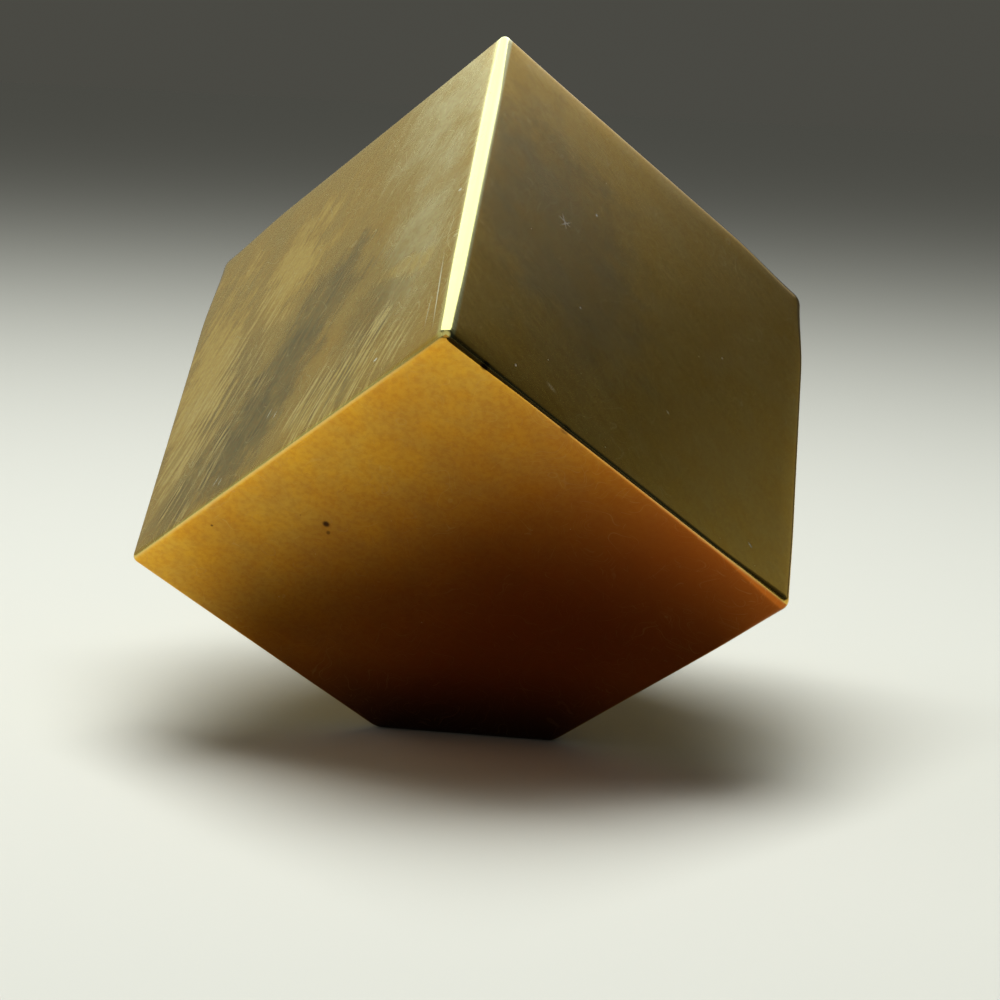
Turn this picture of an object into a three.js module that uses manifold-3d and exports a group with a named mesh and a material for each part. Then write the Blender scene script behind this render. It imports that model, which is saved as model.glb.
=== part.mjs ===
// A solid brass cube that stands on one of its corners. The corner under it is cut off flat, square
// to the cube's long diagonal, which leaves a small three-sided foot. The edges are eased by hand,
// so each edge and each corner has a radius of its own, and an edge's radius runs smoothly into the
// radius of the corner at each end.
// Millimetres, +Z up. The origin is the middle of the foot, on the surface that the cube stands on,
// and the cube's long diagonal is the Z axis. The upper front corner points to -Y.
import * as THREE from "three";
import { mergeVertices } from "three/addons/utils/BufferGeometryUtils.js";
import Module from "manifold-3d";

// Driving dimensions, in millimetres.
const CUBE_EDGE = 25;
const FOOT_CUT = 7.5; // how far up each of its three edges the bottom corner is cut away
const FOOT_ROUND = 0.5; // radius between the foot and the three faces that rise from it
const EASE_RUN = 6; // length over which an edge's radius runs into its corner's

// The cube's corners: the side that each lies on along the cube's own three axes, and its radius.
// The axes run from the upper front, the upper right and the upper left corner to the top.
const CORNERS = {
  top: { side: [1, 1, 1], radius: 0.4 },
  upperFront: { side: [-1, 1, 1], radius: 0.5 },
  upperRight: { side: [1, -1, 1], radius: 1.1 },
  upperLeft: { side: [1, 1, -1], radius: 1.1 },
  lowerLeft: { side: [-1, 1, -1], radius: 0.4 },
  lowerRight: { side: [-1, -1, 1], radius: 0.6 },
  lowerBack: { side: [1, -1, -1], radius: 0.8 },
  foot: { side: [-1, -1, -1], radius: 0.4 },
};

// The twelve edges, each by its two corners, with the radius along its middle.
const EDGES = [
  ["top", "upperFront", 0.62],
  ["top", "upperRight", 0.5],
  ["top", "upperLeft", 0.5],
  ["upperFront", "lowerRight", 0.3],
  ["upperFront", "lowerLeft", 0.27],
  ["upperRight", "lowerRight", 0.45],
  ["upperRight", "lowerBack", 0.5],
  ["upperLeft", "lowerLeft", 0.4],
  ["upperLeft", "lowerBack", 0.5],
  ["lowerLeft", "foot", 0.35],
  ["lowerRight", "foot", 0.35],
  ["lowerBack", "foot", 0.4],
];

// How finely the round parts are faceted.
const ARC_STEPS = 8; // facets across a quarter turn
const EASE_STEPS = 6; // spans along each run from an edge's radius to a corner's

const HALF = CUBE_EDGE / 2;
const QUARTER_TURN = Math.PI / 2;
const triangles = []; // corner points of the whole surface, three at a time

// Adds a triangle with its outer side facing away from the cube's middle.
function addTriangle(a, b, c) {
  const normal = new THREE.Vector3().crossVectors(b.clone().sub(a), c.clone().sub(a));
  const outward = normal.dot(a) > 0;
  triangles.push(a, outward ? b : c, outward ? c : b);
}

function addQuad(a, b, c, d) {
  addTriangle(a, b, c);
  addTriangle(a, c, d);
}

// A point from its coordinates along three of the cube's axes, in any order.
function pointOn(axes, coordinates) {
  const point = new THREE.Vector3();
  axes.forEach((axis, i) => point.setComponent(axis, coordinates[i]));
  return point;
}

// The ball-shaped end of the cube at one corner: an eighth of a sphere.
function addCorner({ side, radius }) {
  const outward = new THREE.Vector3(...side);
  const centre = outward.clone().multiplyScalar(HALF - radius);
  const turn = QUARTER_TURN / ARC_STEPS;
  const at = (i, j) => {
    const k = ARC_STEPS - i - j;
    const direction = new THREE.Vector3(Math.sin(i * turn), Math.sin(j * turn), Math.sin(k * turn));
    return direction.normalize().multiply(outward).multiplyScalar(radius).add(centre);
  };
  for (let i = 0; i < ARC_STEPS; i++) {
    for (let j = 0; j < ARC_STEPS - i; j++) {
      addTriangle(at(i, j), at(i + 1, j), at(i, j + 1));
      if (i + j < ARC_STEPS - 1) addTriangle(at(i + 1, j), at(i + 1, j + 1), at(i, j + 1));
    }
  }
}

// The places along an edge where its section is drawn, with the radius at each.
function edgeStations(from, to, radius) {
  const start = -HALF + from.radius;
  const end = HALF - to.radius;
  const stations = [];
  for (let i = 0; i <= EASE_STEPS; i++) {
    const share = i / EASE_STEPS;
    const here = THREE.MathUtils.lerp(from.radius, radius, THREE.MathUtils.smoothstep(share, 0, 1));
    stations.push({ along: start + share * EASE_RUN, radius: here });
  }
  for (let i = EASE_STEPS; i >= 0; i--) {
    const share = i / EASE_STEPS;
    const here = THREE.MathUtils.lerp(to.radius, radius, THREE.MathUtils.smoothstep(share, 0, 1));
    stations.push({ along: end - share * EASE_RUN, radius: here });
  }
  return stations;
}

// One eased edge. Returns, for each of its two faces, the line along which it meets that face.
function addEdge([fromName, toName, radius]) {
  let [from, to] = [CORNERS[fromName], CORNERS[toName]];
  const axis = from.side.findIndex((s, i) => s !== to.side[i]);
  if (from.side[axis] > 0) [from, to] = [to, from];
  const [first, second] = [0, 1, 2].filter((i) => i !== axis);
  const [sideFirst, sideSecond] = [from.side[first], from.side[second]];
  const arcs = edgeStations(from, to, radius).map(({ along, radius: r }) => {
    const arc = [];
    for (let k = 0; k <= ARC_STEPS; k++) {
      const angle = (k / ARC_STEPS) * QUARTER_TURN;
      const onFirst = sideFirst * (HALF - r + r * Math.cos(angle));
      const onSecond = sideSecond * (HALF - r + r * Math.sin(angle));
      arc.push(pointOn([axis, first, second], [along, onFirst, onSecond]));
    }
    return arc;
  });
  for (let i = 1; i < arcs.length; i++) {
    for (let k = 1; k <= ARC_STEPS; k++) {
      addQuad(arcs[i - 1][k - 1], arcs[i][k - 1], arcs[i][k], arcs[i - 1][k]);
    }
  }
  return [
    { axis: first, side: sideFirst, line: arcs.map((arc) => arc[0]) },
    { axis: second, side: sideSecond, line: arcs.map((arc) => arc[ARC_STEPS]) },
  ];
}

// The flat part of one face, as a fan from the face's middle to the edges' lines round it.
function addFace(axis, side, lines) {
  const middle = pointOn([axis], [side * HALF]);
  for (const line of lines) {
    for (let i = 1; i < line.length; i++) addTriangle(middle, line[i - 1], line[i]);
  }
}

Object.values(CORNERS).forEach(addCorner);
const borders = EDGES.flatMap(addEdge);
for (const axis of [0, 1, 2]) {
  for (const side of [-1, 1]) {
    const own = borders.filter((border) => border.axis === axis && border.side === side);
    addFace(axis, side, own.map((border) => border.line));
  }
}

// The cube's three axes once it stands on its corner, and the height of its middle over the foot.
const TOP_TILT = Math.acos(1 / Math.sqrt(3)); // between an edge from the top corner and the vertical
const axisTowards = (azimuth) => {
  const outward = Math.sin(TOP_TILT);
  return new THREE.Vector3(outward * Math.cos(azimuth), outward * Math.sin(azimuth), Math.cos(TOP_TILT));
};
const azimuths = [90, 210, 330].map(THREE.MathUtils.degToRad);
const MIDDLE_HEIGHT = HALF * Math.sqrt(3) - FOOT_CUT / Math.sqrt(3);

const stand = new THREE.Matrix4()
  .makeBasis(...azimuths.map(axisTowards))
  .setPosition(0, 0, MIDDLE_HEIGHT);

const wasm = await Module();
wasm.setup();

function solidFrom(geometry) {
  const bare = geometry.clone();
  bare.deleteAttribute("normal");
  bare.deleteAttribute("uv");
  const merged = mergeVertices(bare, 1e-4);
  return new wasm.Manifold(
    new wasm.Mesh({
      numProp: 3,
      vertProperties: merged.attributes.position.array,
      triVerts: new Uint32Array(merged.index.array),
    }),
  );
}

// Takes off everything that lies more than `distance` from the origin along `normal`.
function planeCut(solid, normal, distance) {
  const size = 4 * CUBE_EDGE;
  const block = new THREE.BoxGeometry(size, size, size).translate(0, 0, size / 2);
  const turn = new THREE.Quaternion().setFromUnitVectors(new THREE.Vector3(0, 0, 1), normal);
  block.applyQuaternion(turn).translate(...normal.clone().multiplyScalar(distance));
  return solid.subtract(solidFrom(block));
}

// A downward direction, turned up from straight down by `rise` towards `azimuth`.
function downward(azimuth, rise) {
  const outward = Math.sin(rise);
  return new THREE.Vector3(outward * Math.cos(azimuth), outward * Math.sin(azimuth), -Math.cos(rise));
}

// The foot: one cut square to the long diagonal, then narrow cuts that round its three sides.
function cutFoot(cube) {
  const FACE_RISE = Math.PI / 2 - Math.asin(1 / Math.sqrt(3)); // straight down to a lower face's normal
  const ROUND_STEPS = 3;
  const footMiddleToSide = FOOT_CUT / Math.sqrt(6);
  const roundCentre = footMiddleToSide - FOOT_ROUND * Math.tan(FACE_RISE / 2);
  let cut = planeCut(cube, downward(0, 0), 0);
  for (const azimuth of azimuths) {
    const opposite = azimuth + Math.PI; // a lower face lies opposite each upper axis
    for (let k = 1; k <= ROUND_STEPS; k++) {
      const rise = (FACE_RISE * k) / (ROUND_STEPS + 1);
      const reach = roundCentre * Math.sin(rise) - FOOT_ROUND * Math.cos(rise) + FOOT_ROUND;
      cut = planeCut(cut, downward(opposite, rise), reach);
    }
  }
  return cut;
}

const cubeGeometry = new THREE.BufferGeometry().setFromPoints(triangles).applyMatrix4(stand);
const finished = cutFoot(solidFrom(cubeGeometry)).getMesh();

const geometry = new THREE.BufferGeometry();
geometry.setAttribute("position", new THREE.BufferAttribute(finished.vertProperties, finished.numProp));
geometry.setIndex(new THREE.BufferAttribute(finished.triVerts, 1));
geometry.computeVertexNormals();

const brass = new THREE.MeshStandardMaterial({ color: 0xb08d45, roughness: 0.32, metalness: 1 });

const cube = new THREE.Mesh(geometry, brass);
cube.name = "brass_cube";

const group = new THREE.Group();
group.name = "corner_standing_cube";
group.add(cube);

export default group;
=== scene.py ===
# %% [markdown]
# # A worn brass cube that stands on its corner
#
# The object is one solid block of brass, 25 mm along each edge. Somebody eased its edges by hand,
# polished its faces on a soft wheel, and cut one corner off flat so that it stands on the cut with
# its long diagonal upright. This lesson builds the finished metal around the plain solid that the
# frame brings in: first the shape, then the finish, then the studio.

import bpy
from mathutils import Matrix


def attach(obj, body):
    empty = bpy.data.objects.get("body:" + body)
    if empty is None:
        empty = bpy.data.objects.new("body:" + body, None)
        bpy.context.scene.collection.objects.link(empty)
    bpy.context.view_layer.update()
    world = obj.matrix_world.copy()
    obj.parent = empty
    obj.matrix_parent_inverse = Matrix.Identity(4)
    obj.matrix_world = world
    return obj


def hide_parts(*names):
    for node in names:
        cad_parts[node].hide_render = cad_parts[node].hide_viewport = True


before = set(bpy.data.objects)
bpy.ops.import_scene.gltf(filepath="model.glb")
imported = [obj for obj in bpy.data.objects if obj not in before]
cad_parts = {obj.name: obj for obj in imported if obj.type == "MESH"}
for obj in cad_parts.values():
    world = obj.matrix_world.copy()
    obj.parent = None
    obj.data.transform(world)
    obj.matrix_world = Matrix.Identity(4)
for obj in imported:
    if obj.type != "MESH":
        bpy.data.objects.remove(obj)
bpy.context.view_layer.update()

# %% [markdown]
# ## Tools of the trade
#
# The shape and the finish are both made with nodes. Wiring nodes by hand in a script takes many
# lines, so a few small helpers come first: one that adds a node and feeds its sockets, either with
# a value or with a link from another node, and short names for the two kinds of arithmetic.

# %% Small helpers for wiring nodes
import math

import bpy
from mathutils import Matrix, Vector

MM = 0.001  # the frame is in metres, and the cube's sizes are given in millimetres


def feed(tree, socket, value):
    """Gives a socket its value: a link when the value is another node's socket."""
    if isinstance(value, bpy.types.NodeSocket):
        tree.links.new(value, socket)
    elif value is not None:
        socket.default_value = value


def add(tree, kind, settings=None, **inputs):
    """Adds a node, sets its options, and feeds its named inputs."""
    node = tree.nodes.new(kind)
    for option, value in (settings or {}).items():
        setattr(node, option, value)
    for name, value in inputs.items():
        feed(tree, node.inputs[name.replace("_", " ")], value)
    return node


def calc(tree, operation, *values, clamp=False):
    """One step of arithmetic on numbers."""
    node = add(tree, "ShaderNodeMath", {"operation": operation, "use_clamp": clamp})
    for socket, value in zip(node.inputs, values):
        feed(tree, socket, value)
    return node.outputs[0]


def vec(tree, operation, *values):
    """One step of arithmetic on vectors. A length or a dot product comes out as a number."""
    node = add(tree, "ShaderNodeVectorMath", {"operation": operation})
    if operation == "SCALE":
        feed(tree, node.inputs[0], values[0])
        feed(tree, node.inputs["Scale"], values[1])
    else:
        for socket, value in zip(node.inputs, values):
            feed(tree, socket, value)
    return node.outputs["Value" if operation in ("LENGTH", "DOT_PRODUCT") else "Vector"]


def ramp(tree, value, low, high, out_low=0.0, out_high=1.0):
    """Turns the range from low to high into the range from out_low to out_high, with soft ends."""
    node = add(tree, "ShaderNodeMapRange", {"interpolation_type": "SMOOTHSTEP"})
    ends = {"Value": value, "From Min": low, "From Max": high, "To Min": out_low, "To Max": out_high}
    for name, given in ends.items():
        feed(tree, node.inputs[name], given)
    return node.outputs["Result"]


def split(tree, vector):
    """The three numbers of a vector."""
    return tuple(add(tree, "ShaderNodeSeparateXYZ", Vector=vector).outputs)


def join(tree, x, y, z):
    """A vector from three numbers."""
    return add(tree, "ShaderNodeCombineXYZ", X=x, Y=y, Z=z).outputs[0]


def new_group(kind, name, inputs, outputs):
    """A node tree with named sockets, and its two ends."""
    tree = bpy.data.node_groups.new(name, kind)
    for direction, sockets in (("INPUT", inputs), ("OUTPUT", outputs)):
        for title, (socket_type, value) in sockets.items():
            full_type = "NodeSocket" + socket_type
            socket = tree.interface.new_socket(title, in_out=direction, socket_type=full_type)
            if value is not None:
                socket.default_value = value
    return tree, tree.nodes.new("NodeGroupInput").outputs, tree.nodes.new("NodeGroupOutput").inputs


print("helpers ready")

# %% [markdown]
# ## The camera
#
# The cube was photographed from close by and a little above its middle, slightly from the right,
# with the camera tipped a few degrees. A lens of about 90 mm, 145 mm away from the cube, gives the
# strong convergence of the cube's edges.

# %% The camera
camera_data = bpy.data.cameras.new("camera")
camera_data.lens = 90.34
camera_data.sensor_width = 36
camera_data.clip_start = 0.005
camera = bpy.data.objects.new("camera", camera_data)
camera.location = (0.014711, -0.138821, 0.037939)
camera.rotation_euler = [math.radians(turn) for turn in (79.825, -2.940, 6.150)]
bpy.context.scene.collection.objects.link(camera)
bpy.context.scene.camera = camera
print("camera at", [round(1000 * v) for v in camera.location], "mm")

# %% [markdown]
# ## The cube's sizes
#
# Every edge was eased on its own, so their radii differ: the edge from the top to the upper front
# corner is the softest, and the one from there to the lower left corner is still almost sharp. The
# same sizes shape the plain solid, so the finished piece lies closely over it.

# %% Sizes and the names of the corners and edges
EDGE = 25.0
FOOT_CUT = 7.5  # how far up its three edges the bottom corner is cut away
EASE_RUN = 6.0  # length over which an edge's radius runs into its corner's

CORNERS = {  # the side of the cube that each corner is on, along the cube's own axes, and its radius
    "top": ((1, 1, 1), 0.4),
    "upper front": ((-1, 1, 1), 0.5),
    "upper right": ((1, -1, 1), 1.1),
    "upper left": ((1, 1, -1), 1.1),
    "lower left": ((-1, 1, -1), 0.4),
    "lower right": ((-1, -1, 1), 0.6),
    "lower back": ((1, -1, -1), 0.8),
    "foot": ((-1, -1, -1), 0.4),
}
EDGES = {  # each edge's two corners, and the radius along its middle
    ("top", "upper front"): 0.62,
    ("top", "upper right"): 0.5,
    ("top", "upper left"): 0.5,
    ("upper front", "lower right"): 0.3,
    ("upper front", "lower left"): 0.27,
    ("upper right", "lower right"): 0.45,
    ("upper right", "lower back"): 0.5,
    ("upper left", "lower left"): 0.4,
    ("upper left", "lower back"): 0.5,
    ("lower left", "foot"): 0.35,
    ("lower right", "foot"): 0.35,
    ("lower back", "foot"): 0.4,
}
print(len(CORNERS), "corners and", len(EDGES), "edges")

# %% [markdown]
# ## How the shape is made
#
# The cube follows a rule, so Geometry Nodes make it. A cube of fine square mesh starts out sharp.
# Each point of it is first pulled towards the middle of the cube by the local radius, and then
# pushed out again by the same radius along a direction that turns smoothly round the edge: that is
# what a rounded edge is. The points are spaced so that several lines of mesh fall on each
# rounding, and the flat faces keep even squares for the polishing waves.
#
# A boolean or a bevel would be quicker to write, but neither can change its radius along an edge.

# %% How near each point is to each side of the cube
SIZES = {
    "Edge Length": ("Float", EDGE * MM),
    "Foot Cut": ("Float", FOOT_CUT * MM),
    "Foot Easing": ("Float", 0.35 * MM),
    "Ease Run": ("Float", EASE_RUN * MM),
    "Lines Per Edge": ("Int", 118),
    "Lines In Easing": ("Int", 6),
    "Roll Off Width": ("Float", 1.6 * MM),
    "Roll Off Depth": ("Float", 0.028 * MM),
    "Wave Length": ("Float", 7.0 * MM),
    "Wave Depth": ("Float", 0.012 * MM),
    "Nick Spacing": ("Float", 3.1 * MM),
    "Nick Width": ("Float", 0.22 * MM),
    "Nick Depth": ("Float", 0.035 * MM),
    "Seed": ("Float", 4.0),
    "Stand Turn": ("Vector", None),
    "Face Metal": ("Material", None),
    "Foot Metal": ("Material", None),
}
for name, (_, radius) in CORNERS.items():
    SIZES[f"Corner {name}"] = ("Float", radius * MM)
for (start, end), radius in EDGES.items():
    SIZES[f"Edge {start} to {end}"] = ("Float", radius * MM)

shape, size, shaped = new_group(
    "GeometryNodeTree", "Eased cube", SIZES, {"Geometry": ("Geometry", None)}
)
half = calc(shape, "MULTIPLY", size["Edge Length"], 0.5)
spans = calc(shape, "SUBTRACT", size["Lines Per Edge"], 1.0)
easing_spans = calc(shape, "MULTIPLY", size["Lines In Easing"], 2.0)
flat_share = calc(shape, "SUBTRACT", 1.0, calc(shape, "DIVIDE", easing_spans, spans))
grid = add(shape, "GeometryNodeMeshCube", Size=(2, 2, 2))
for name in ("Vertices X", "Vertices Y", "Vertices Z"):
    feed(shape, grid.inputs[name], size["Lines Per Edge"])

at = add(shape, "GeometryNodeInputPosition").outputs[0]
signs = vec(shape, "SIGN", at)
away = vec(shape, "ABSOLUTE", at)


def map_vector(low, high, out_high):
    """Maps all three numbers of the point's distance from the middle at once."""
    node = add(shape, "ShaderNodeMapRange", {"data_type": "FLOAT_VECTOR", "clamp": True})
    by_name = {s.identifier: s for s in node.inputs}
    feed(shape, by_name["Vector"], away)
    feed(shape, by_name["From_Min_FLOAT3"], low)
    feed(shape, by_name["From_Max_FLOAT3"], high)
    feed(shape, by_name["To_Max_FLOAT3"], (out_high,) * 3)
    return node.outputs["Vector"]


flat_edge = join(shape, flat_share, flat_share, flat_share)
flatness = map_vector((0, 0, 0), flat_edge, 1.0)
bend = vec(shape, "TANGENT", map_vector(flat_edge, (1, 1, 1), math.pi / 4))
print("grid of", SIZES["Lines Per Edge"][1], "lines along each edge")


# %% The radius at each point
NEAR_POWER = 8.0  # how soon an edge loses its say in the radius
BASE_RADIUS = 0.45  # millimetres, in the middle of a face, where no edge has a say
LITTLE = 0.001  # its small weight beside the edges


def near(number, side):
    """1 at the cube's side, and soon 0 away from it."""
    outward = calc(shape, "MAXIMUM", calc(shape, "MULTIPLY", number, float(side)), 0.0)
    return calc(shape, "POWER", outward, NEAR_POWER)


nearness = [{side: near(number, side) for side in (1, -1)} for number in split(shape, at)]
total, share = BASE_RADIUS * MM * LITTLE, LITTLE
for start, end in EDGES:
    across = [i for i in range(3) if CORNERS[start][0][i] == CORNERS[end][0][i]]
    weight = calc(shape, "MULTIPLY", *[nearness[i][CORNERS[start][0][i]] for i in across])
    total = calc(shape, "MULTIPLY_ADD", weight, size[f"Edge {start} to {end}"], total)
    share = calc(shape, "ADD", weight, share)
radius_here = calc(shape, "DIVIDE", total, share)

for name, (side, _) in CORNERS.items():
    gaps = split(shape, vec(shape, "SUBTRACT", (1, 1, 1), vec(shape, "MULTIPLY", at, side)))
    furthest = calc(shape, "MAXIMUM", calc(shape, "MAXIMUM", gaps[0], gaps[1]), gaps[2])
    along = calc(shape, "MULTIPLY", furthest, half)
    corner = size[f"Corner {name}"]
    run_end = calc(shape, "ADD", corner, size["Ease Run"])
    hold = ramp(shape, along, corner, run_end, 1.0, 0.0)
    change = calc(shape, "SUBTRACT", corner, radius_here)
    radius_here = calc(shape, "MULTIPLY_ADD", hold, change, radius_here)
print("radius wired from", len(EDGES) + len(CORNERS), "sizes")

# %% [markdown]
# ## What polishing and use did to it
#
# A soft wheel takes a little more metal near the edges than in the middle, so each face rolls off
# gently before the rounding starts, and long shallow waves run over it. The edges also carry a few
# tiny nicks. All of it is only hundredths of a millimetre deep, but on metal it bends the
# reflections, which is why it belongs in the shape.

# %% The polished surface
inner = calc(shape, "SUBTRACT", half, radius_here)
core = vec(shape, "SCALE", vec(shape, "MULTIPLY", signs, flatness), inner)
outward = vec(shape, "NORMALIZE", vec(shape, "MULTIPLY", signs, bend))
eased = vec(shape, "ADD", core, vec(shape, "SCALE", outward, radius_here))

x, y, z = split(shape, vec(shape, "ABSOLUTE", eased))
middle_one = calc(
    shape, "MAXIMUM", calc(shape, "MINIMUM", x, y), calc(shape, "MINIMUM", calc(shape, "MAXIMUM", x, y), z)
)
edge_gap = calc(shape, "SUBTRACT", half, middle_one)

sag = calc(shape, "SUBTRACT", 1.0, calc(shape, "DIVIDE", edge_gap, size["Roll Off Width"]), clamp=True)
roll_off = calc(shape, "MULTIPLY", calc(shape, "MULTIPLY", sag, sag), size["Roll Off Depth"])

wave_at = vec(shape, "SCALE", eased, calc(shape, "DIVIDE", 1.0, size["Wave Length"]))
options = {"noise_dimensions": "4D"}
wave = add(shape, "ShaderNodeTexNoise", options, Vector=wave_at, W=size["Seed"], Scale=1.0, Detail=1.0)
waves = calc(shape, "MULTIPLY", calc(shape, "SUBTRACT", wave.outputs["Fac"], 0.5), size["Wave Depth"])

nick_at = vec(shape, "SCALE", eased, calc(shape, "DIVIDE", 1.0, size["Nick Spacing"]))
options = {"voronoi_dimensions": "4D"}
nick = add(shape, "ShaderNodeTexVoronoi", options, Vector=nick_at, W=size["Seed"], Scale=1.0)
nick_reach = calc(shape, "DIVIDE", size["Nick Width"], size["Nick Spacing"])
nick_mask = ramp(shape, nick.outputs["Distance"], 0.0, nick_reach, 1.0, 0.0)
nicks = calc(shape, "MULTIPLY", nick_mask, size["Nick Depth"])

lift = calc(shape, "SUBTRACT", waves, calc(shape, "ADD", roll_off, nicks))
finished = vec(shape, "ADD", eased, vec(shape, "SCALE", outward, lift))
print("polish, waves and nicks wired")

# %% [markdown]
# ## Marks that follow each face
#
# The brush marks and scratches lie in the faces, so the finish needs to know where on a face it is.
# While the mesh is still a plain cube, that is easy: the face's own direction says which two of
# the cube's axes lie in it. The two distances are stored as an attribute in millimetres, with a
# number for the face as the third value, and so is the distance from the nearest edge.

# %% Where each point lies on its face
FACE_NUMBERS = (10.0, 30.0, 50.0)  # square to each of the cube's axes, and negative on the far side
face_way = add(shape, "GeometryNodeFieldOnDomain", {"domain": "FACE", "data_type": "FLOAT_VECTOR"})
feed(shape, face_way.inputs[0], add(shape, "GeometryNodeInputNormal").outputs[0])
way = split(shape, face_way.outputs[0])
px, py, pz = split(shape, vec(shape, "SCALE", eased, 1.0 / MM))
plan = None
for facing, (u, v), number in zip(way, ((py, pz), (pz, px), (px, py)), FACE_NUMBERS):
    on_it = calc(shape, "ROUND", calc(shape, "ABSOLUTE", facing))
    place = join(shape, u, v, calc(shape, "MULTIPLY", calc(shape, "ROUND", facing), number))
    place = vec(shape, "SCALE", place, on_it)
    plan = place if plan is None else vec(shape, "ADD", plan, place)

marked = grid.outputs["Mesh"]
for name, domain, kind, value in (
    ("face_plan", "CORNER", "FLOAT_VECTOR", plan),
    ("edge_gap", "POINT", "FLOAT", calc(shape, "DIVIDE", edge_gap, MM)),
):
    options = {"data_type": kind, "domain": domain}
    store = add(shape, "GeometryNodeStoreNamedAttribute", options, Geometry=marked, Name=name)
    feed(shape, store.inputs["Value"], value)
    marked = store.outputs[0]
print("attributes: face_plan and edge_gap")

# %% [markdown]
# ## Standing it on its corner
#
# The cube is turned so that its long diagonal is upright and lifted so that the cut lies on the
# floor. The cut itself is one node: whatever would be below the floor is brought up to it, and a
# smooth maximum instead of a plain one leaves the foot's rim eased, as it is on the real cube.

# %% The stand and the foot
FLOOR_LEVEL = 1e-6  # metres: a point below this is on the foot
moved = add(shape, "GeometryNodeSetPosition", Geometry=marked, Position=finished).outputs[0]
turned = add(shape, "ShaderNodeVectorRotate", {"rotation_type": "EULER_XYZ"}, Rotation=size["Stand Turn"])
feed(shape, turned.inputs["Vector"], add(shape, "GeometryNodeInputPosition").outputs[0])
tx, ty, tz = split(shape, turned.outputs[0])
cut_down = calc(shape, "MULTIPLY", size["Foot Cut"], -1.0)
rise = calc(shape, "DIVIDE", calc(shape, "MULTIPLY_ADD", half, 3.0, cut_down), math.sqrt(3))
tz = calc(shape, "SMOOTH_MAX", calc(shape, "ADD", tz, rise), 0.0, size["Foot Easing"])
standing = add(shape, "GeometryNodeSetPosition", Geometry=moved, Position=join(shape, tx, ty, tz)).outputs[0]

height = split(shape, add(shape, "GeometryNodeInputPosition").outputs[0])[2]
on_foot = add(shape, "FunctionNodeCompare", {"operation": "LESS_THAN"}, A=height, B=FLOOR_LEVEL).outputs[0]
smooth = add(shape, "GeometryNodeSetShadeSmooth", Geometry=standing).outputs[0]
real = add(shape, "GeometryNodeRealizeInstances", Geometry=smooth).outputs[0]
faced = add(shape, "GeometryNodeSetMaterial", Geometry=real, Material=size["Face Metal"]).outputs[0]
footed = add(shape, "GeometryNodeSetMaterial", Geometry=faced, Selection=on_foot, Material=size["Foot Metal"])
feed(shape, shaped["Geometry"], footed.outputs[0])
print("tree has", len(shape.nodes), "nodes")

# %% [markdown]
# ## The finish, one effect at a time
#
# Old brass is not one colour. Tarnish clouds it in soft patches, brushing leaves streaks, handling
# leaves hairline scratches and specks, and the edges wear bright. Each effect is a node group with
# its own inputs, so that the faces and the foot can use the same ones with different values.

# %% Clouds of tarnish
clouds, given, result = new_group(
    "ShaderNodeTree",
    "Tarnish clouds",
    {"Point": ("Vector", None), "Size": ("Float", 6.0), "Cover": ("Float", 0.5), "Softness": ("Float", 0.15)},
    {"Mask": ("Float", None)},
)
noise = add(clouds, "ShaderNodeTexNoise", Scale=1.0, Detail=4.0, Roughness=0.6)
per_size = calc(clouds, "DIVIDE", 1.0, given["Size"])
feed(clouds, noise.inputs["Vector"], vec(clouds, "SCALE", given["Point"], per_size))
edge_of_cloud = calc(clouds, "SUBTRACT", 1.0, given["Cover"])
low = calc(clouds, "SUBTRACT", edge_of_cloud, given["Softness"])
high = calc(clouds, "ADD", edge_of_cloud, given["Softness"])
feed(clouds, result["Mask"], ramp(clouds, noise.outputs["Fac"], low, high))
print("group:", clouds.name)

# %% Brush streaks
streaks, given, result = new_group(
    "ShaderNodeTree",
    "Brush streaks",
    {
        "Plan": ("Vector", None),
        "Angle": ("Float", 0.0),
        "Length": ("Float", 6.0),
        "Width": ("Float", 0.12),
        "Wander": ("Float", 0.3),
    },
    {"Mask": ("Float", None)},
)
sway = add(streaks, "ShaderNodeTexNoise", Vector=given["Plan"], Scale=0.12, Detail=1.0)
swayed = vec(streaks, "SUBTRACT", sway.outputs["Color"], (0.5, 0.5, 0.5))
swayed = vec(streaks, "MULTIPLY", vec(streaks, "SCALE", swayed, given["Wander"]), (1, 1, 0))
turn = add(streaks, "ShaderNodeVectorRotate", {"rotation_type": "Z_AXIS"}, Angle=given["Angle"])
feed(streaks, turn.inputs["Vector"], vec(streaks, "ADD", given["Plan"], swayed))
sx, sy, sz = split(streaks, turn.outputs[0])
along, across = calc(streaks, "DIVIDE", sx, given["Length"]), calc(streaks, "DIVIDE", sy, given["Width"])
stretched = join(streaks, along, across, sz)
grain = add(streaks, "ShaderNodeTexNoise", Vector=stretched, Scale=1.0, Detail=3.0, Roughness=0.6)
feed(streaks, result["Mask"], ramp(streaks, grain.outputs["Fac"], 0.35, 0.65))
print("group:", streaks.name)

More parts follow.
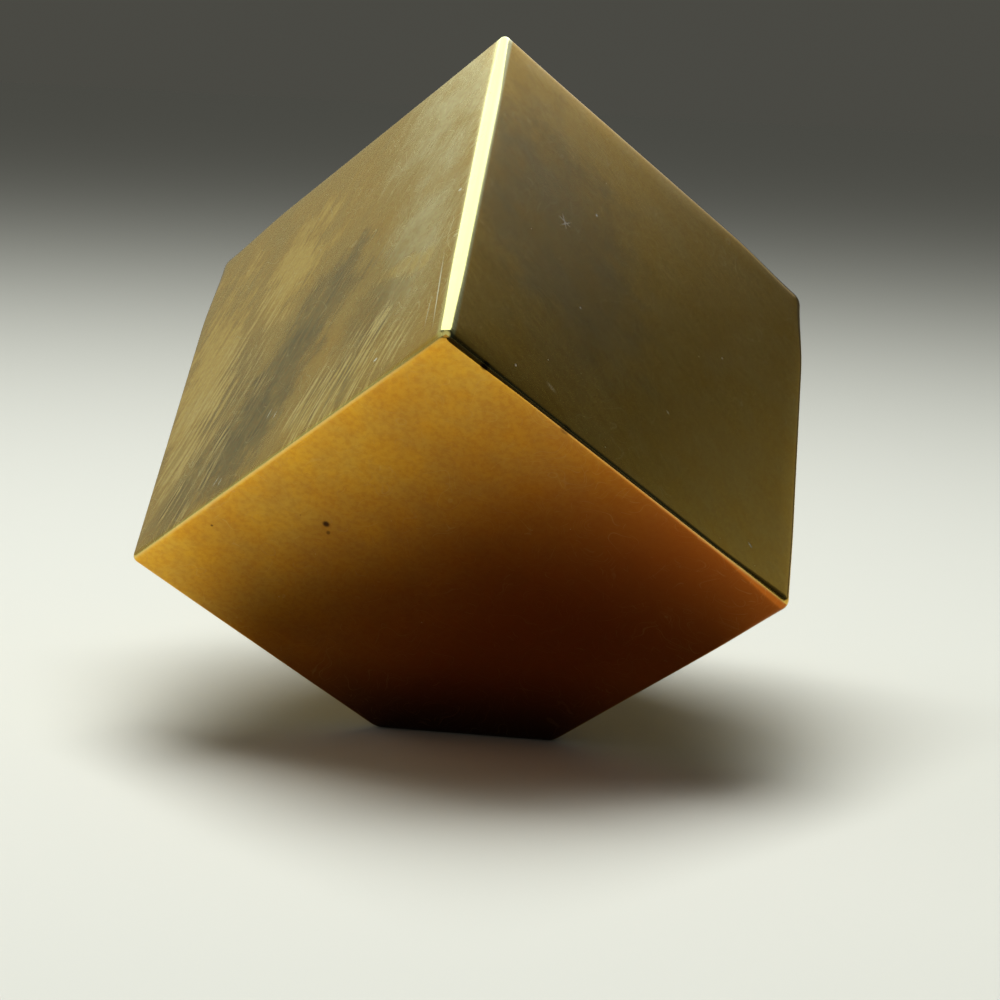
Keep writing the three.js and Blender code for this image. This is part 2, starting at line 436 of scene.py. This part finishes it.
# %% Hairline scratches
hairlines, given, result = new_group(
    "ShaderNodeTree",
    "Hairlines",
    {
        "Plan": ("Vector", None),
        "Angle": ("Float", 0.0),
        "Length": ("Float", 3.0),
        "Spacing": ("Float", 0.8),
        "Width": ("Float", 0.03),
        "Lean": ("Float", 0.6),
    },
    {"Mask": ("Float", None)},
)
turn = add(hairlines, "ShaderNodeVectorRotate", {"rotation_type": "Z_AXIS"}, Angle=given["Angle"])
feed(hairlines, turn.inputs["Vector"], given["Plan"])
hx, hy, hz = split(hairlines, turn.outputs[0])
cell_x = calc(hairlines, "DIVIDE", hx, given["Length"])
cell_y = calc(hairlines, "DIVIDE", hy, given["Spacing"])
cell = join(hairlines, cell_x, cell_y, hz)
seeds = add(hairlines, "ShaderNodeTexVoronoi", Vector=cell, Scale=1.0)
dx, dy, _ = split(hairlines, vec(hairlines, "SUBTRACT", cell, seeds.outputs["Position"]))
chance = split(hairlines, seeds.outputs["Color"])
lean = calc(hairlines, "MULTIPLY", calc(hairlines, "SUBTRACT", chance[0], 0.5), given["Lean"])
aside = calc(hairlines, "MULTIPLY", dy, given["Spacing"])
leaning = calc(hairlines, "MULTIPLY", calc(hairlines, "MULTIPLY", dx, given["Length"]), lean)
offset = calc(hairlines, "ADD", aside, leaning)
line = ramp(hairlines, calc(hairlines, "ABSOLUTE", offset), 0.0, given["Width"], 1.0, 0.0)
ends = ramp(hairlines, calc(hairlines, "ABSOLUTE", dx), 0.15, 0.45, 1.0, 0.0)
strength = ramp(hairlines, chance[1], 0.3, 1.0)
faded = calc(hairlines, "MULTIPLY", line, ends)
feed(hairlines, result["Mask"], calc(hairlines, "MULTIPLY", faded, strength))
print("group:", hairlines.name)

# %% Specks and pits
specks, given, result = new_group(
    "ShaderNodeTree",
    "Specks",
    {"Plan": ("Vector", None), "Spacing": ("Float", 1.5), "Radius": ("Float", 0.06), "Share": ("Float", 0.3)},
    {"Mask": ("Float", None)},
)
grains = add(specks, "ShaderNodeTexVoronoi", Scale=1.0)
per_spacing = calc(specks, "DIVIDE", 1.0, given["Spacing"])
feed(specks, grains.inputs["Vector"], vec(specks, "SCALE", given["Plan"], per_spacing))
chance = split(specks, grains.outputs["Color"])
radius = calc(specks, "MULTIPLY", given["Radius"], ramp(specks, chance[1], 0.0, 1.0, 0.4, 1.3))
reach = calc(specks, "DIVIDE", radius, given["Spacing"])
dot = ramp(specks, grains.outputs["Distance"], calc(specks, "MULTIPLY", reach, 0.5), reach, 1.0, 0.0)
chosen = calc(specks, "LESS_THAN", chance[0], given["Share"])
feed(specks, result["Mask"], calc(specks, "MULTIPLY", dot, chosen))
print("group:", specks.name)

# %% One mark at a chosen place
placed_mark, given, result = new_group(
    "ShaderNodeTree",
    "Placed mark",
    {
        "Plan": ("Vector", None),
        "Centre": ("Vector", None),
        "Along": ("Vector", (1.0, 0.0, 0.0)),
        "Across": ("Vector", (0.0, 1.0, 0.0)),
        "Rag": ("Float", 0.0),
    },
    {"Mask": ("Float", None)},
)
from_middle = vec(placed_mark, "SUBTRACT", given["Plan"], given["Centre"])
scaled = join(
    placed_mark,
    vec(placed_mark, "DOT_PRODUCT", from_middle, given["Along"]),
    vec(placed_mark, "DOT_PRODUCT", from_middle, given["Across"]),
    split(placed_mark, from_middle)[2],
)
reach = calc(placed_mark, "ADD", vec(placed_mark, "LENGTH", scaled), given["Rag"])
feed(placed_mark, result["Mask"], ramp(placed_mark, reach, 0.30, 1.0, 1.0, 0.0))
print("group:", placed_mark.name)

# %% [markdown]
# ## The faces' metal
#
# The face that looks left is the most handled one: grey tarnish lies over it in patches, and
# where it has been rubbed back the brass shows yellow between slanting brush streaks. The face that
# looks right is a quiet olive. The one below turns from gold to brown and near black towards the
# foot; that darkening is painted shade, for the shadowed floor that this face mirrors. The
# marks that the eye finds first each have a place in a table; noise spreads the rest. A mask that
# compares the face's number picks the face.

# %% Helpers for the materials
def use(tree, group, **inputs):
    """Places a node group and returns its mask."""
    node = tree.nodes.new("ShaderNodeGroup")
    node.node_tree = group
    for name, value in inputs.items():
        feed(tree, node.inputs[name], value)
    return node.outputs["Mask"]


def blend_colour(tree, share, first, second):
    """Mixes two colours by a share from 0 to 1."""
    node = add(tree, "ShaderNodeMix", {"data_type": "RGBA"})
    feed(tree, node.inputs["Factor"], share)
    feed(tree, node.inputs[6], first)
    feed(tree, node.inputs[7], second)
    return node.outputs[2]


def new_metal(name):
    """An empty metal material, its shader, and the face plan and edge gap that it can read."""
    material = bpy.data.materials.new(name)
    material.use_nodes = True
    tree = material.node_tree
    shader = tree.nodes["Principled BSDF"]
    shader.inputs["Metallic"].default_value = 1.0
    plan_node = add(tree, "ShaderNodeAttribute", {"attribute_name": "face_plan"})
    gap_node = add(tree, "ShaderNodeAttribute", {"attribute_name": "edge_gap"})
    return material, tree, shader, plan_node.outputs["Vector"], gap_node.outputs["Fac"]


def times(tree, *values):
    """All the values multiplied together."""
    result = values[0]
    for value in values[1:]:
        result = calc(tree, "MULTIPLY", result, value)
    return result


print("material helpers ready")

# %% Where the marks of use are
LEFT, RIGHT, LOWER = FACE_NUMBERS[1], FACE_NUMBERS[2], -FACE_NUMBERS[0]  # the three faces in front

RUBBED = [  # patches that were rubbed back to yellow brass: face, place, angle, length, width, strength
    (LEFT, (-9.5, -1.0), 86, 22.0, 7.0, 1.0),
    (LEFT, (-3.0, 4.5), 62, 11.0, 6.5, 1.0),
    (LEFT, (4.0, -10.5), 10, 11.0, 5.5, 1.0),
    (LEFT, (8.0, -4.0), 160, 7.0, 2.0, 0.8),
]
BRUSHED = [  # where the brush marks show most
    (LEFT, (4.0, -10.0), 10, 11.0, 7.0, 1.0),
    (LEFT, (-7.5, -4.0), 70, 18.0, 9.0, 0.6),
]
DULL = [  # thick tarnish
    (LEFT, (-3.0, -7.0), 58, 18.0, 9.0, 0.9),
    (LEFT, (1.0, -1.5), 60, 12.0, 7.0, 0.8),
    (LEFT, (6.0, -5.5), 62, 10.0, 7.0, 0.55),
    (LEFT, (-9.0, -10.0), 55, 9.0, 5.0, 0.7),
    (RIGHT, (0.5, 7.0), 30, 26.0, 18.0, 0.5),
]
PALE = [  # polishing haze that scatters the light
    (LEFT, (9.0, 9.5), 45, 15.0, 11.0, 0.75),
    (LEFT, (9.0, 0.0), 88, 24.0, 8.0, 0.8),
    (LEFT, (12.2, 0.0), 90, 30.0, 2.0, 0.7),
]
SPECKS_SEEN = [
    (LEFT, (7.0, -10.5), 20, 0.40, 0.28, 1.0),
    (LEFT, (11.3, -0.5), 0, 0.34, 0.28, 1.0),
    (LEFT, (-1.9, -8.3), 62, 0.9, 0.14, 0.8),
    (LEFT, (-1.3, -8.8), 62, 0.7, 0.12, 0.8),
    (LEFT, (-5.5, -11.0), 50, 0.9, 0.13, 0.8),
    (LEFT, (-5.1, -11.3), 66, 0.7, 0.13, 0.8),
    (LEFT, (11.2, -8.3), 93, 7.2, 0.12, 0.9),
    (LEFT, (10.7, -9.6), 88, 3.0, 0.09, 0.6),
    (RIGHT, (1.7, 6.4), 25, 1.4, 0.13, 0.4),
    (RIGHT, (1.7, 6.4), 80, 1.2, 0.13, 0.4),
    (RIGHT, (1.6, 6.3), 140, 1.3, 0.12, 0.4),
    (RIGHT, (4.2, 4.3), 0, 0.28, 0.22, 0.6),
    (RIGHT, (-3.6, 4.5), 0, 0.24, 0.20, 0.4),
    (RIGHT, (-11.0, 8.0), 0, 0.26, 0.20, 0.6),
    (RIGHT, (-5.9, -2.3), 60, 0.4, 0.2, 0.4),
    (RIGHT, (1.4, -5.9), 0, 0.26, 0.20, 0.4),
    (RIGHT, (-10.6, 5.6), 70, 1.0, 0.4, 0.2),
    (RIGHT, (-10.5, -9.0), 60, 0.5, 0.22, 0.7),
]
PITS_SEEN = [
    (LOWER, (7.5, -2.0), 30, 0.6, 0.5, 1.0),
    (LOWER, (7.0, -2.4), 50, 0.4, 0.3, 0.6),
    (LOWER, (9.7, 12.3), 0, 0.7, 0.4, 1.0),
    (LOWER, (4.2, 12.3), 0, 0.8, 0.4, 0.5),
    (RIGHT, (-12.3, 9.7), 90, 0.6, 0.3, 0.8),
    (RIGHT, (-12.3, 4.2), 90, 0.6, 0.3, 0.4),
]
print(len(SPECKS_SEEN) + len(PITS_SEEN), "small marks placed")


def placed(tree, plan, marks, rag=0.0):
    """The masks of several placed marks together. Rag makes their outlines uneven."""
    together = None
    for face, (u, v), angle, length, width, strength in marks:
        a = math.radians(angle)
        along = (2 * math.cos(a) / length, 2 * math.sin(a) / length, 0)
        across = (-2 * math.sin(a) / width, 2 * math.cos(a) / width, 0)
        mask = use(tree, placed_mark, Plan=plan, Centre=(u, v, face), Along=along, Across=across, Rag=rag)
        mask = calc(tree, "MULTIPLY", mask, strength)
        together = mask if together is None else calc(tree, "MAXIMUM", together, mask)
    return together


# %% Masks for the brass of the six faces
face_metal, brass, shader, plan_at, gap = new_metal("worn brass")
lu, lv, number = split(brass, plan_at)
on_left = calc(brass, "COMPARE", number, LEFT, 1.0)
on_right = calc(brass, "COMPARE", number, RIGHT, 1.0)
on_lower = calc(brass, "COMPARE", number, LOWER, 1.0)
off_lower = calc(brass, "SUBTRACT", 1.0, on_lower)
behind = calc(brass, "SUBTRACT", off_lower, calc(brass, "ADD", on_left, on_right))

patches = use(brass, clouds, Point=plan_at, Size=5.0, Cover=0.5, Softness=0.12)
elsewhere = vec(brass, "ADD", plan_at, (7.0, 3.0, 1.5))
mottle = use(brass, clouds, Point=elsewhere, Size=2.0, Cover=0.5, Softness=0.22)
fine_mottle = use(brass, clouds, Point=plan_at, Size=0.30, Cover=0.48, Softness=0.15)
brushed = use(brass, streaks, Plan=plan_at, Angle=math.radians(-58), Length=4.5, Width=0.26, Wander=1.2)
long_brush = use(brass, streaks, Plan=plan_at, Angle=math.radians(-76), Length=9.0, Width=0.7, Wander=1.5)
fine_brush = use(brass, streaks, Plan=plan_at, Angle=math.radians(-64), Length=1.6, Width=0.06, Wander=2.5)
warp = add(brass, "ShaderNodeTexNoise", Vector=plan_at, Scale=0.30, Detail=1.0).outputs["Color"]
warp = vec(brass, "MULTIPLY", vec(brass, "SUBTRACT", warp, (0.5, 0.5, 0.5)), (9.0, 9.0, 0.0))
swirl_at = vec(brass, "ADD", plan_at, warp)
hair_a = use(
    brass, hairlines, Plan=swirl_at, Angle=math.radians(35), Length=2.6, Spacing=0.26, Width=0.034, Lean=1.2
)
hair_b = use(
    brass, hairlines, Plan=swirl_at, Angle=math.radians(-60), Length=2.0, Spacing=0.20, Width=0.030, Lean=1.2
)
dust = use(brass, specks, Plan=plan_at, Spacing=0.9, Radius=0.05, Share=0.14)
elsewhere = vec(brass, "ADD", plan_at, (3.3, 1.7, 0.5))
pits = use(brass, specks, Plan=elsewhere, Spacing=2.4, Radius=0.08, Share=0.15)

lumps = add(brass, "ShaderNodeTexNoise", Vector=plan_at, Scale=0.40, Detail=5.0, Roughness=0.62)
uneven = lumps.outputs["Fac"]
streaky = times(brass, on_left, calc(brass, "MULTIPLY_ADD", brushed, 0.44, -0.22))
rag = calc(brass, "SUBTRACT", calc(brass, "MULTIPLY_ADD", uneven, 2.2, -1.1), streaky)
rag = times(brass, rag, calc(brass, "MULTIPLY_ADD", on_right, -0.6, 1.0))
rubbed_here = placed(brass, plan_at, RUBBED, rag)
dull_here = placed(brass, plan_at, DULL, rag)
dull_behind = times(brass, behind, calc(brass, "SUBTRACT", 1.0, patches), 0.6)
dull_here = calc(brass, "MAXIMUM", dull_here, dull_behind)
pale_here = placed(brass, plan_at, PALE, calc(brass, "MULTIPLY", rag, 0.5))
brushed_here = placed(brass, plan_at, BRUSHED, rag)
brushed_here = calc(brass, "MAXIMUM", brushed_here, times(brass, behind, patches, 0.4))
hair_amount = calc(brass, "MULTIPLY_ADD", on_left, 0.40, calc(brass, "MULTIPLY_ADD", pale_here, 0.80, 0.26))
hair = times(brass, calc(brass, "MAXIMUM", hair_a, hair_b), hair_amount)
bright_marks = calc(brass, "MAXIMUM", times(brass, dust, 0.4), placed(brass, plan_at, SPECKS_SEEN))
dark_marks = calc(brass, "MAXIMUM", times(brass, pits, 0.7), placed(brass, plan_at, PITS_SEEN))
print("masks wired,", len(brass.nodes), "nodes so far")

# %% The brass of the six faces
BRIGHT_BRASS = (0.84, 0.50, 0.075, 1)
YELLOW_BRASS = (0.84, 0.58, 0.16, 1)
RUBBED_BRASS = (0.95, 0.69, 0.20, 1)
HAZE = (0.64, 0.49, 0.18, 1)
GREY_TARNISH = (0.28, 0.245, 0.13, 1)
PALE_HAZE = (0.90, 0.79, 0.43, 1)
# This brown is real tarnish in small patches and on the foot, and also painted shade on the face below
# towards its foot.
BROWN_TARNISH_AND_SHADE = (0.48, 0.15, 0.03, 1)
WORN_EDGE = (0.93, 0.70, 0.30, 1)
WORN_PALE = (0.95, 0.84, 0.36, 1)
CREST = (1.0, 0.80, 0.34, 1)
MARK = (0.98, 0.92, 0.72, 1)
# This dark is the colour of real pits, and also painted shade close to the foot of the face below.
PIT_AND_SHADE_BLACK = (0.10, 0.05, 0.03, 1)

colour = blend_colour(brass, times(brass, mottle, 0.4), BRIGHT_BRASS, YELLOW_BRASS)
colour = blend_colour(brass, times(brass, rubbed_here, off_lower, 0.9), colour, RUBBED_BRASS)
haze = calc(brass, "MULTIPLY_ADD", on_left, 0.42, 0.34)
haze = times(brass, haze, off_lower, calc(brass, "SUBTRACT", 1.0, times(brass, rubbed_here, 0.95)))
haze = times(brass, haze, calc(brass, "MULTIPLY_ADD", patches, 0.30, 0.70))
colour = blend_colour(brass, haze, colour, HAZE)
dull_share = times(brass, dull_here, calc(brass, "SUBTRACT", 1.0, times(brass, rubbed_here, on_left, 0.85)))
dull_share = times(brass, dull_share, calc(brass, "MULTIPLY_ADD", mottle, 0.25, 0.75))
dull_share = times(brass, dull_share, calc(brass, "MULTIPLY_ADD", times(brass, on_left, brushed), -0.35, 1.0))
colour = blend_colour(brass, dull_share, colour, GREY_TARNISH)
pale_share = times(brass, pale_here, calc(brass, "MULTIPLY_ADD", mottle, 0.5, 0.4))
colour = blend_colour(brass, pale_share, colour, PALE_HAZE)
print("tarnish wired")

# %% Streaks, painted shade towards the foot, and the small marks over it
streak_amount = calc(brass, "MULTIPLY_ADD", brushed_here, 0.65, times(brass, on_left, 0.10))
dark_streaks = times(brass, calc(brass, "SUBTRACT", 1.0, brushed), streak_amount)
colour = blend_colour(brass, dark_streaks, colour, GREY_TARNISH)
colour = blend_colour(brass, times(brass, on_left, rubbed_here, long_brush, 0.5), colour, RUBBED_BRASS)
crests = ramp(brass, brushed, 0.45, 0.85)
colour = blend_colour(brass, times(brass, brushed_here, crests, 0.8), colour, CREST)
fine_amount = calc(brass, "MULTIPLY_ADD", on_lower, 0.12, calc(brass, "MULTIPLY_ADD", on_left, 0.06, 0.10))
colour = blend_colour(brass, times(brass, fine_mottle, fine_amount), colour, BROWN_TARNISH_AND_SHADE)
colour = blend_colour(brass, times(brass, on_lower, mottle, 0.12), colour, GREY_TARNISH)
colour = blend_colour(brass, times(brass, on_lower, patches, 0.16), colour, BROWN_TARNISH_AND_SHADE)

# Painted shade: the face below is mixed towards brown the nearer it lies to the foot and to its lower right
# corner, for the dark floor that it mirrors there.
from_foot = calc(brass, "ADD", lu, lv)
sideways = times(brass, calc(brass, "SUBTRACT", lv, lu), 0.48)
to_foot = calc(brass, "MULTIPLY_ADD", from_foot, -0.5, sideways)
painted_shade_brown = times(brass, on_lower, ramp(brass, to_foot, -11.0, 5.5), 0.88)
colour = blend_colour(brass, painted_shade_brown, colour, BROWN_TARNISH_AND_SHADE)
# Painted shade: close to the foot the face below is mixed towards near black, for the floor's shadow that it
# mirrors there.
painted_shade_black = ramp(brass, from_foot, -8.0, -18.0)
colour = blend_colour(brass, times(brass, on_lower, painted_shade_black, 0.9), colour, PIT_AND_SHADE_BLACK)

colour = blend_colour(brass, times(brass, hair_b, on_lower, 0.25), colour, BROWN_TARNISH_AND_SHADE)
colour = blend_colour(brass, times(brass, hair, 0.60), colour, PALE_HAZE)
wear = ramp(brass, gap, 0.03, 0.28, 1.0, 0.0)
# The soft edge from the top to the upper front corner is worn over its whole rounding.
left_side = times(brass, on_left, ramp(brass, lu, 11.7, 12.0))
right_side = times(brass, on_right, ramp(brass, lv, 11.8, 12.0))
wear = calc(brass, "MAXIMUM", wear, calc(brass, "MAXIMUM", left_side, right_side))
worn = blend_colour(brass, off_lower, WORN_EDGE, WORN_PALE)
colour = blend_colour(brass, times(brass, wear, 0.85), colour, worn)
colour = blend_colour(brass, times(brass, bright_marks, 0.9), colour, MARK)
colour = blend_colour(brass, times(brass, dark_marks, 0.9), colour, PIT_AND_SHADE_BLACK)
feed(brass, shader.inputs["Base Color"], colour)
print("colours wired")

# %% Its roughness and relief
rough = calc(brass, "MULTIPLY_ADD", haze, 0.16, 0.14)
for mask, change in (
    (dull_share, 0.10),
    (pale_share, 0.07),
    (brushed, -0.02),
    (wear, -0.05),
    (hair, 0.12),
    (bright_marks, 0.30),
):
    rough = calc(brass, "MULTIPLY_ADD", mask, change, rough)
feed(brass, shader.inputs["Roughness"], rough)

relief = calc(brass, "MULTIPLY", brushed, calc(brass, "MULTIPLY_ADD", brushed_here, 0.8, 0.15))
for mask, height in ((fine_brush, 0.30), (pits, -5.0)):
    relief = calc(brass, "MULTIPLY_ADD", mask, height, relief)
bump = add(brass, "ShaderNodeBump", Strength=0.5, Distance=0.004 * MM, Height=relief)
feed(brass, shader.inputs["Normal"], bump.outputs[0])
print("material:", face_metal.name)

# %% [markdown]
# ## The foot's metal
#
# The cut corner was sawn and only rubbed flat, so its small triangle is duller than the faces and
# shows fine straight saw marks. It uses the same groups with other values.

# %% The sawn foot
foot_metal, sawn, shader, _, _ = new_metal("sawn brass")
point_mm = vec(sawn, "SCALE", add(sawn, "ShaderNodeTexCoord").outputs["Object"], 1.0 / MM)
saw = use(sawn, streaks, Plan=point_mm, Angle=0.4, Length=9.0, Width=0.10, Wander=0.1)
dull = use(sawn, clouds, Point=point_mm, Size=3.0, Cover=0.5, Softness=0.2)
colour = blend_colour(sawn, dull, YELLOW_BRASS, GREY_TARNISH)
colour = blend_colour(sawn, calc(sawn, "MULTIPLY", saw, 0.4), colour, BROWN_TARNISH_AND_SHADE)
feed(sawn, shader.inputs["Base Color"], colour)
feed(sawn, shader.inputs["Roughness"], calc(sawn, "MULTIPLY_ADD", saw, 0.12, 0.36))
bump = add(sawn, "ShaderNodeBump", Strength=0.6, Distance=0.01 * MM, Height=saw)
feed(sawn, shader.inputs["Normal"], bump.outputs[0])
print("material:", foot_metal.name)

# %% [markdown]
# ## Making the piece
#
# The tree is put on an empty mesh as a modifier, its inputs are set, and the evaluated result is
# kept as a plain mesh. The modifier goes away again, so what is left is ordinary geometry.

# %% The finished cube
TOP_TILT = math.acos(1 / math.sqrt(3))


def axis_towards(azimuth):
    """One of the cube's own axes once it stands: tilted up by the same amount as the other two."""
    a = math.radians(azimuth)
    return Vector((math.sin(TOP_TILT) * math.cos(a), math.sin(TOP_TILT) * math.sin(a), math.cos(TOP_TILT)))


stand = Matrix([axis_towards(azimuth) for azimuth in (90, 210, 330)]).transposed()
holder = bpy.data.objects.new("holder", bpy.data.meshes.new("holder"))
bpy.context.scene.collection.objects.link(holder)
modifier = holder.modifiers.new("shape", "NODES")
modifier.node_group = shape
identifiers = {item.name: item.identifier for item in shape.interface.items_tree if item.in_out == "INPUT"}
modifier[identifiers["Stand Turn"]] = tuple(stand.to_euler())
modifier[identifiers["Face Metal"]] = face_metal
modifier[identifiers["Foot Metal"]] = foot_metal

holder.update_tag()
depsgraph = bpy.context.evaluated_depsgraph_get()
mesh = bpy.data.meshes.new_from_object(
    holder.evaluated_get(depsgraph), preserve_all_data_layers=True, depsgraph=depsgraph
)
mesh.name = "finished_cube"
mesh.materials.pop(index=0)  # the grid's own slot, which stays empty
cube = bpy.data.objects.new("finished_cube", mesh)
bpy.context.scene.collection.objects.link(cube)
bpy.data.objects.remove(holder)
mesh.calc_loop_triangles()
print("finished cube:", len(mesh.loop_triangles), "triangles,", [metal.name for metal in mesh.materials])
print("attributes:", [a.name for a in mesh.attributes])

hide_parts("brass_cube")
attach(cube, "root")

# %% [markdown]
# ## The studio
#
# A plain pale floor, a soft light above it and a weaker one low on the left. Metal shows what it
# reflects, so most of the work is done by the sky: broad glows in it, which only the metal sees. The
# one overhead gives the white line on the top edge, and the dark gap on the right gives the dark
# right face. The floor and the camera see an even grey sky instead.

# %% The floor
FLOOR = 1.5  # metres from the cube to the floor's ends
FLOOR_COLOUR = (0.61, 0.61, 0.58, 1)
floor_mesh = bpy.data.meshes.new("floor")
floor_mesh.from_pydata(
    [(-FLOOR, -FLOOR, 0), (FLOOR, -FLOOR, 0), (FLOOR, FLOOR, 0), (-FLOOR, FLOOR, 0)], [], [(0, 1, 2, 3)]
)
floor = bpy.data.objects.new("floor", floor_mesh)
bpy.context.scene.collection.objects.link(floor)
paper = bpy.data.materials.new("pale floor")
paper.use_nodes = True
paper_shader = paper.node_tree.nodes["Principled BSDF"]
paper_shader.inputs["Base Color"].default_value = FLOOR_COLOUR
paper_shader.inputs["Roughness"].default_value = 0.9
paper_shader.inputs["Specular IOR Level"].default_value = 0.0
floor_mesh.materials.append(paper)
print("floor", 2 * FLOOR, "m wide")

# %% The sky
DARK_FRONT = (0.020, 0.025, 0.035, 1)  # what the metal sees between the glows, on the camera's side
DIM_BACK = (0.068, 0.077, 0.090, 1)  # and on the far side
EVEN_SKY = (0.14, 0.14, 0.13, 1)  # what lights the floor
SEEN_SKY = (0.087, 0.086, 0.076, 1)  # what the camera sees, as dark as the far floor
GLOWS = [  # azimuth, elevation, full and no light at these angles from the middle, colour
    (101, 53, 34, 38, (0.95, 1.12, 1.30)),
    (133, 17, 8, 30, (0.29, 0.305, 0.29)),
    (185, 9, 22, 38, (0.30, 0.32, 0.30)),
    (72, 41, 12, 29, (0.56, 0.65, 1.06)),
    (34, 12, 3, 17, (0.20, 0.22, 0.22)),
    (262, 35, 25, 62, (0.36, 0.37, 0.35)),
]

world = bpy.data.worlds.new("studio")
bpy.context.scene.world = world
world.use_nodes = True
sky = world.node_tree
sky.nodes.clear()
look = add(sky, "ShaderNodeTexCoord").outputs["Generated"]
_, wy, _ = split(sky, look)
glow = blend_colour(sky, ramp(sky, wy, -0.25, 0.30), DARK_FRONT, DIM_BACK)
for azimuth, elevation, full, nothing, tint in GLOWS:
    a, e = math.radians(azimuth), math.radians(elevation)
    middle = (math.cos(e) * math.cos(a), math.cos(e) * math.sin(a), math.sin(e))
    closeness = vec(sky, "DOT_PRODUCT", look, middle)
    share = ramp(sky, closeness, math.cos(math.radians(nothing)), math.cos(math.radians(full)))
    glow = vec(sky, "ADD", glow, vec(sky, "SCALE", tint, share))

ray = add(sky, "ShaderNodeLightPath").outputs
shown = blend_colour(sky, ray["Is Glossy Ray"], EVEN_SKY, glow)
shown = blend_colour(sky, ray["Is Camera Ray"], shown, SEEN_SKY)
background = add(sky, "ShaderNodeBackground", Color=shown, Strength=1.0)
ending = add(sky, "ShaderNodeOutputWorld")
sky.links.new(background.outputs[0], ending.inputs["Surface"])
print("sky with", len(GLOWS), "glows")

# %% The soft lights
SOFT_WHITE = (0.98, 1.0, 0.97)


def area_light(name, place, aim, width, power):
    """A soft square light that looks at a point."""
    data = bpy.data.lights.new(name, "AREA")
    data.size = width
    data.energy = power
    data.color = SOFT_WHITE
    light = bpy.data.objects.new(name, data)
    light.location = place
    light.rotation_euler = (Vector(aim) - Vector(place)).to_track_quat("-Z", "Y").to_euler()
    bpy.context.scene.collection.objects.link(light)
    return light


softbox = area_light("softbox", (-0.02, 0.015, 0.27), aim=(0, 0, 0.02), width=0.20, power=0.72)
left_strip = area_light("left strip", (-0.34, 0.02, 0.13), aim=(0, 0, 0), width=0.16, power=0.12)
for light in (softbox, left_strip):
    light.visible_glossy = False  # the metal mirrors the glows in the sky instead
print("lights:", softbox.name, left_strip.name)

# %% [markdown]
# Photographers lay a black card beside shiny things to get a dark line along an edge. This one lies
# on the floor at the right front, and only the metal sees it.

# %% The black card
CARD_LEFT, CARD_FAR, CARD_LIFT = 0.012, 0.6, 0.0003  # metres
CARD_BACK, CARD_BACK_RIGHT = -0.038, -0.040
CARD_BLACK = (0.03, 0.03, 0.03, 1)
CARD_CORNERS = (
    (CARD_LEFT, -CARD_FAR),
    (CARD_FAR, -CARD_FAR),
    (CARD_FAR, CARD_BACK_RIGHT),
    (CARD_LEFT, CARD_BACK),
)
card_mesh = bpy.data.meshes.new("black_card")
card_mesh.from_pydata([(*corner, CARD_LIFT) for corner in CARD_CORNERS], [], [(0, 1, 2, 3)])
card = bpy.data.objects.new("black_card", card_mesh)
bpy.context.scene.collection.objects.link(card)
card_paper = bpy.data.materials.new("black card")
card_paper.use_nodes = True
card_shader = card_paper.node_tree.nodes["Principled BSDF"]
card_shader.inputs["Base Color"].default_value = CARD_BLACK
card_shader.inputs["Roughness"].default_value = 0.9
card_mesh.materials.append(card_paper)
for kind in ("camera", "diffuse", "shadow", "transmission", "volume_scatter"):
    setattr(card, f"visible_{kind}", False)
print("card at the right front")

# %% Colour management
bpy.context.scene.view_settings.view_transform = "Standard"
bpy.context.scene.view_settings.look = "High Contrast"
bpy.context.scene.view_settings.exposure = 0.0
print("view:", bpy.context.scene.view_settings.view_transform)
